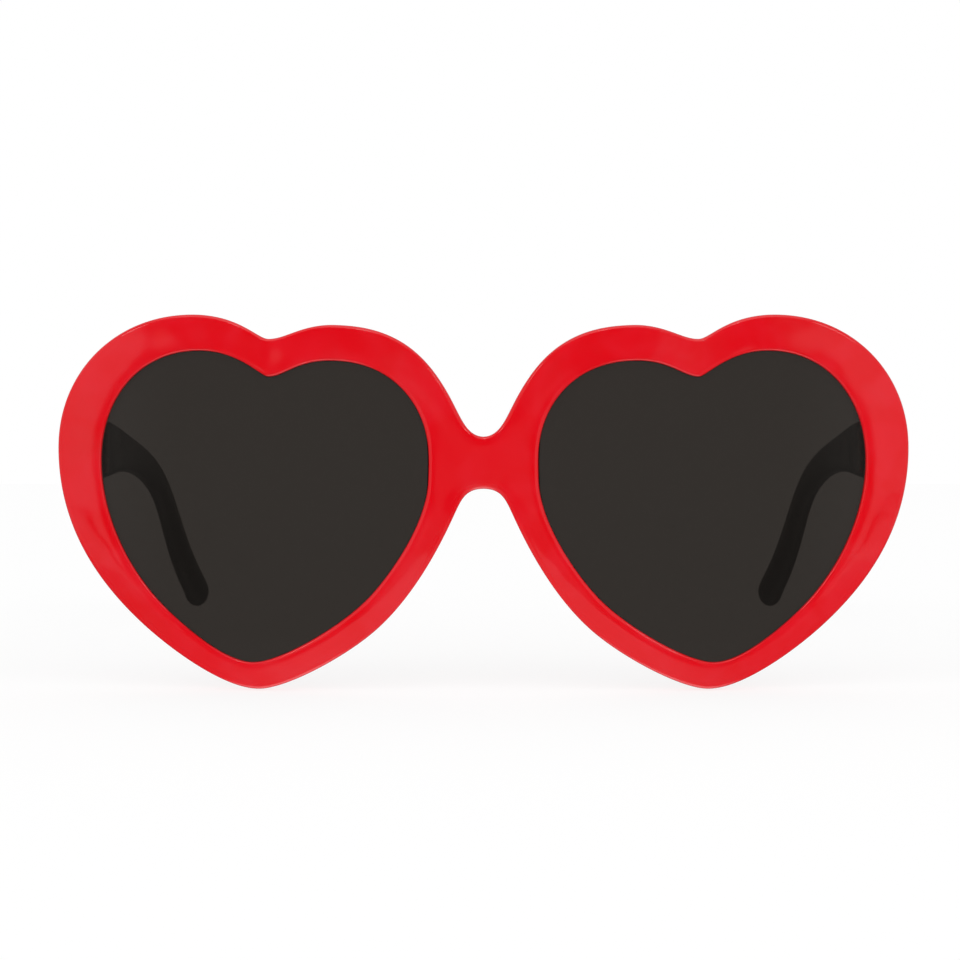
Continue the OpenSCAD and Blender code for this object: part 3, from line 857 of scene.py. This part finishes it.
# %% Lens material
DYE = (0.0480, 0.0416, 0.0366, 1)
CLEAR_SHARE = 0.75
tint, tree, surface, _ = polished("lens_tint", clean=0.012, smudged=0.03, wave_depth=0.002 * MM,
                                  Grain_share=0)
surface.inputs["Base Color"].default_value = DYE
surface.inputs["Transmission Weight"].default_value = CLEAR_SHARE
surface.inputs["IOR"].default_value = 1.5
for lens in lenses.values():
    lens.data.materials.append(tint)
print(tint.name, "passes", [round(CLEAR_SHARE * part, 3) for part in DYE[:3]], "of red, green and blue")

# %% [markdown]
# ## Metal
# The hinge leaves and knuckles are nickel plated and the screws bright steel. Both have the fine
# parallel scratches of a drawn strip, made by a noise that is stretched along one axis, and the
# screws are a little duller. Fine scratches scatter some light in every direction, so the metal is
# given a small matt share. The shader's own anisotropy would stretch the highlights too, but it
# needs a direction on every face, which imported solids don't bring along.

# %% Metal materials
METAL_SHARE = 0.7
SCRATCHES_PER_METRE = 4000
SCRATCH_DEPTH = 0.004 * MM


def brushed(name, colour, clean, smudged, lines_along):
    material, tree, surface = new_material(name)
    polish = place_group(tree, polish_group, Clean=clean, Smudged=smudged, Smudges_per_metre=300)
    coordinates = tree.nodes.new("ShaderNodeTexCoord")
    stretched = tree.nodes.new("ShaderNodeMapping")
    stretched.inputs["Scale"].default_value = lines_along
    lines = tree.nodes.new("ShaderNodeTexNoise")
    lines.inputs["Scale"].default_value = SCRATCHES_PER_METRE
    lines.inputs["Detail"].default_value = 3
    bump = tree.nodes.new("ShaderNodeBump")
    bump.inputs["Distance"].default_value = SCRATCH_DEPTH
    link(tree, coordinates.outputs["Object"], stretched.inputs["Vector"])
    link(tree, stretched.outputs["Vector"], lines.inputs["Vector"])
    link(tree, lines.outputs["Fac"], bump.inputs["Height"])
    link(tree, bump.outputs["Normal"], surface.inputs["Normal"])
    link(tree, polish.outputs["Roughness"], surface.inputs["Roughness"])
    surface.inputs["Base Color"].default_value = colour
    surface.inputs["Metallic"].default_value = METAL_SHARE
    print(name, "has", len(tree.nodes), "nodes")
    return material


NICKEL_COLOUR = (0.74, 0.71, 0.66, 1)
STEEL_COLOUR = (0.56, 0.56, 0.57, 1)
nickel = brushed("hinge_nickel", NICKEL_COLOUR, clean=0.2, smudged=0.36, lines_along=(0.03, 1, 1))
steel = brushed("screw_steel", STEEL_COLOUR, clean=0.24, smudged=0.4, lines_along=(1, 0.05, 1))

# %% [markdown]
# ## Hinges
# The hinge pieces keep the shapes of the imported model. They could be modelled again, but their
# bores and knuckles are exact as they are. Real ones have edges broken by tumbling, so each gets a
# very small bevel that catches the light.

# %% Dress the hinges
METAL_NODES = {"front_leaf": nickel, "temple_leaf": nickel, "hinge_screw": steel,
               "front_leaf_screws": steel, "temple_leaf_screws": steel}
BROKEN_EDGE = 0.08 * MM
SHARP_DEGREES = 40
for name, metal in METAL_NODES.items():
    for side in ("left", "right"):
        piece = frame["nodes"][name + "_" + side]
        piece.data.materials.clear()
        piece.data.materials.append(metal)
        weld = piece.modifiers.new("weld", "WELD")
        weld.merge_threshold = 0.001 * MM
        broken = piece.modifiers.new("broken edges", "BEVEL")
        broken.width = BROKEN_EDGE
        broken.segments = 2
        broken.limit_method = "ANGLE"
        broken.angle_limit = math.radians(SHARP_DEGREES)
        broken.harden_normals = True
print("hinge pieces dressed:", 2 * len(METAL_NODES))

# %% [markdown]
# ## The studio
# The floor is a sheet of white paper, and the room behind it is white too. What a gloss mirrors is
# another matter, and it is what makes red plastic look like plastic. It sees a dim room with pale
# walls far to the sides, which draw the crown on the outer rims, and a faint paleness straight
# ahead for the bridge. Between them it finds nothing, so the inner humps and the lenses stay deep.
# Behind the object the room is pale, and that lights every edge that turns away. A picture of a
# real room could be mirrored instead, but a formula lets each pale part be set by itself.

# %% The room that a gloss mirrors
DIM_LEVEL = 0.015
BEHIND_LEVEL = 0.4
SIDE_LEVEL = 0.27
AHEAD_LEVEL = 0.1
CEILING_LEVEL = 0.7
# Where each part of the mirrored room begins and where it is full, as parts of a direction: back,
# across, up, and the slope, which is up for each part across
BEHIND_BACK = (-0.1, 0.4)
SIDE_ACROSS = (0.34, 0.5)
SIDE_SLOPE_LOW = (-0.5, -0.3)
SIDE_SLOPE_HIGH = (1.6, 1.0)
AHEAD_ACROSS = (0.22, 0.04)
AHEAD_UP_LOW = (-0.3, -0.05)
AHEAD_UP_HIGH = (0.34, 0.18)
CEILING_UP = (0.8, 0.98)
world = bpy.data.worlds.new("studio")
scene.world = world
world.use_nodes = True
sky = world.node_tree
background = sky.nodes["Background"]
rays = sky.nodes.new("ShaderNodeLightPath")
direction = sky.nodes.new("ShaderNodeTexCoord")
parts = sky.nodes.new("ShaderNodeSeparateXYZ")
link(sky, direction.outputs["Generated"], parts.inputs["Vector"])
across = size_of(sky, parts.outputs["X"])
up = parts.outputs["Z"]
behind = soft_step(sky, parts.outputs["Y"], *BEHIND_BACK, BEHIND_LEVEL, base=DIM_LEVEL)
slope = joined(sky, "DIVIDE", up, across)
sides = joined(sky, "MULTIPLY", soft_step(sky, across, *SIDE_ACROSS, SIDE_LEVEL),
               soft_step(sky, slope, *SIDE_SLOPE_LOW), soft_step(sky, slope, *SIDE_SLOPE_HIGH))
ahead = joined(sky, "MULTIPLY", soft_step(sky, across, *AHEAD_ACROSS, AHEAD_LEVEL),
               soft_step(sky, up, *AHEAD_UP_LOW), soft_step(sky, up, *AHEAD_UP_HIGH))
ceiling = soft_step(sky, up, *CEILING_UP, CEILING_LEVEL)
mirrored_room = joined(sky, "MAXIMUM", behind, sides, ahead, ceiling)
print("a gloss mirrors the room at", DIM_LEVEL, "to", CEILING_LEVEL)

# %% The room for every kind of ray
DIFFUSE_LEVEL = 0.8
seen = joined(sky, "MAXIMUM", rays.outputs["Is Camera Ray"], rays.outputs["Is Transmission Ray"])
glossy = sky.nodes.new("ShaderNodeMix")
glossy.inputs["A"].default_value = DIFFUSE_LEVEL
link(sky, rays.outputs["Is Glossy Ray"], glossy.inputs["Factor"])
link(sky, mirrored_room, glossy.inputs["B"])
level = sky.nodes.new("ShaderNodeMix")
level.inputs["B"].default_value = 1
link(sky, seen, level.inputs["Factor"])
link(sky, glossy.outputs["Result"], level.inputs["A"])
link(sky, level.outputs["Result"], background.inputs["Strength"])
background.inputs["Color"].default_value = (1, 1, 1, 1)
print("room lights the object at", DIFFUSE_LEVEL)

# %% [markdown]
# ## The paper
# The paper has to look white all the way to the edge of the picture and still keep the object's
# shadow, so it glows a little and the lamps add the rest. The glow also lights the object's
# underside, standing in for light bounced off the paper. A shadow catcher needs a background put
# in afterwards, and this picture is finished when it is rendered. A gloss sees a second glow of the
# paper, uneven as the room and standing in for lamps: pale near the middle, dim between, pale again
# far out at the sides and behind the object, and brighter than white at the foot of each rounded
# lip, where it draws a thin pale highlight line.

# %% Paper sheet
FLOOR_HALF = 420 * MM
FLOOR_CORNERS = [(-1, -1), (1, -1), (1, 1), (-1, 1)]
FLOOR_BELOW = 0.02 * MM
floor = new_object("floor", [(FLOOR_HALF * x, FLOOR_HALF * y, 0) for x, y in FLOOR_CORNERS],
                   [(0, 1, 2, 3)])
floor.location.z = -FLOOR_BELOW
print("floor", round(2 * FLOOR_HALF, 2), "m square")

# %% The paper's glow in a gloss, standing in for lamps
NEAR_LEVEL = 0.3
FAR_LEVEL = 0.08
OUTER_SHARE = 0.4
BACK_LEVEL = 0.3
FOOT_HIGHLIGHT_GLOW = 1.3
# Where each pale part of the paper's gloss-only glow begins and where it is full
NEAR_Y = (-150 * MM, -128 * MM)
NEAR_X = (50 * MM, 28 * MM)
FAR_OUT_X = (105 * MM, 150 * MM)
FAR_OUT_Y = (-300 * MM, -200 * MM)
BACK_Y = (-60 * MM, -20 * MM)
FOOT_STEEPNESS = (0.8, 0.96)
paper, tree, surface = new_material("white_paper")
ground = tree.nodes.new("ShaderNodeTexCoord")
parts = tree.nodes.new("ShaderNodeSeparateXYZ")
link(tree, ground.outputs["Object"], parts.inputs["Vector"])
ground_x = size_of(tree, parts.outputs["X"])
ground_y = parts.outputs["Y"]
near = joined(tree, "MULTIPLY", soft_step(tree, ground_y, *NEAR_Y, NEAR_LEVEL, base=FAR_LEVEL),
              soft_step(tree, ground_x, *NEAR_X, base=OUTER_SHARE))
far_out = joined(tree, "MULTIPLY", soft_step(tree, ground_x, *FAR_OUT_X, SIDE_LEVEL),
                 soft_step(tree, ground_y, *FAR_OUT_Y))
# The paper glows brighter than white for gloss rays that come in steeply, standing in for a lamp:
# only rounded lips and edges see that glow at their feet, as a thin pale highlight line
arriving = tree.nodes.new("ShaderNodeNewGeometry")
steepness = tree.nodes.new("ShaderNodeSeparateXYZ")
link(tree, arriving.outputs["Incoming"], steepness.inputs["Vector"])
paper_glow_in_gloss = joined(tree, "MAXIMUM", near, far_out,
                        soft_step(tree, steepness.outputs["Z"], *FOOT_STEEPNESS, FOOT_HIGHLIGHT_GLOW),
                        soft_step(tree, ground_y, *BACK_Y, BACK_LEVEL))
print("a gloss mirrors the paper at", round(FAR_LEVEL * OUTER_SHARE, 3), "to", FOOT_HIGHLIGHT_GLOW)

# %% Paper material
SHADOW_SHARE = 0.25
PAPER_GLOW = 1.06
PAPER_WHITE = (0.9, 0.9, 0.9, 1)
surface.inputs["Base Color"].default_value = PAPER_WHITE
surface.inputs["Roughness"].default_value = 0.9
surface.inputs["Specular IOR Level"].default_value = 0
rays = tree.nodes.new("ShaderNodeLightPath")
# What passes through a lens counts as glossy too, so it is taken off
mirrored_ray = tree.nodes.new("ShaderNodeMath")
mirrored_ray.operation = "SUBTRACT"
mirrored_ray.use_clamp = True
reflected = tree.nodes.new("ShaderNodeMix")
reflected.inputs["A"].default_value = PAPER_GLOW
glow = tree.nodes.new("ShaderNodeEmission")
link(tree, rays.outputs["Is Glossy Ray"], mirrored_ray.inputs[0])
link(tree, rays.outputs["Is Transmission Ray"], mirrored_ray.inputs[1])
link(tree, mirrored_ray.outputs[0], reflected.inputs["Factor"])
link(tree, paper_glow_in_gloss, reflected.inputs["B"])
# Seen through a lens, the paper is as white as the room behind it
through_lens = soft_step(tree, rays.outputs["Is Transmission Ray"], 0, 1, 1 / PAPER_GLOW, base=1)
link(tree, joined(tree, "MULTIPLY", reflected.outputs["Result"], through_lens), glow.inputs["Strength"])
# The lamps light a quarter of the paper's white, so that the object's shadow still shows. Rays that
# light the object see the same glow, which stands in for light bounced up onto its underside
glowing = tree.nodes.new("ShaderNodeMath")
glowing.operation = "MULTIPLY"
glowing.inputs[1].default_value = 1 - SHADOW_SHARE
mixed = tree.nodes.new("ShaderNodeMixShader")
link(tree, joined(tree, "MAXIMUM", rays.outputs["Is Camera Ray"], rays.outputs["Is Diffuse Ray"]),
     glowing.inputs[0])
link(tree, joined(tree, "MAXIMUM", glowing.outputs[0], rays.outputs["Is Glossy Ray"],
                  rays.outputs["Is Transmission Ray"]), mixed.inputs[0])
link(tree, surface.outputs[0], mixed.inputs[1])
link(tree, glow.outputs[0], mixed.inputs[2])
link(tree, mixed.outputs[0], tree.nodes["Material Output"].inputs["Surface"])
floor.data.materials.append(paper)
print(paper.name, "has", len(tree.nodes), "nodes")

# %% [markdown]
# ## The lamps
# Two wide soft boxes at the sides fill the object evenly, and a gloss doesn't show them. Three
# small lamps stand higher. They put a soft light on the upper edges and a shadow on the paper. A
# sun or a point lamp would be simpler, but it draws a hard shadow and a hard bright dot.

# %% Lamps
# Turn and tilt in degrees, distance and side in metres, radiance, and whether a gloss shows it
LAMPS = {
    "soft_box_right": (56, 12, 0.95, 0.9, 0.5, False),
    "soft_box_left": (-56, 12, 0.95, 0.9, 0.5, False),
    "top_lamp": (0, 66, 1.1, 0.1, 4.0, True),
    "high_lamp_right": (57, 45, 1.1, 0.22, 2.0, True),
    "high_lamp_left": (-57, 45, 1.1, 0.22, 2.0, True),
}


def square_lamp(name, turn, tilt, distance, side, radiance, in_gloss):
    """A square lamp that looks at the object. Turn 0 is in front, positive to the right."""
    data = bpy.data.lights.new(name, "AREA")
    data.shape = "RECTANGLE"
    data.size = side
    data.size_y = side
    data.energy = radiance * math.pi * side * side
    lamp = bpy.data.objects.new(name, data)
    scene.collection.objects.link(lamp)
    a, e = math.radians(turn), math.radians(tilt)
    way = Vector((math.sin(a) * math.cos(e), -math.cos(a) * math.cos(e), math.sin(e)))
    middle = LYING @ Vector((0, joint_y, front_mid_z))
    lamp.location = middle + distance * way
    lamp.rotation_euler = (-way).to_track_quat("-Z", "Y").to_euler()
    lamp.visible_camera = False
    lamp.visible_transmission = False
    lamp.visible_glossy = in_gloss


for name, setting in LAMPS.items():
    square_lamp(name, *setting)
scene.view_settings.view_transform = "Standard"
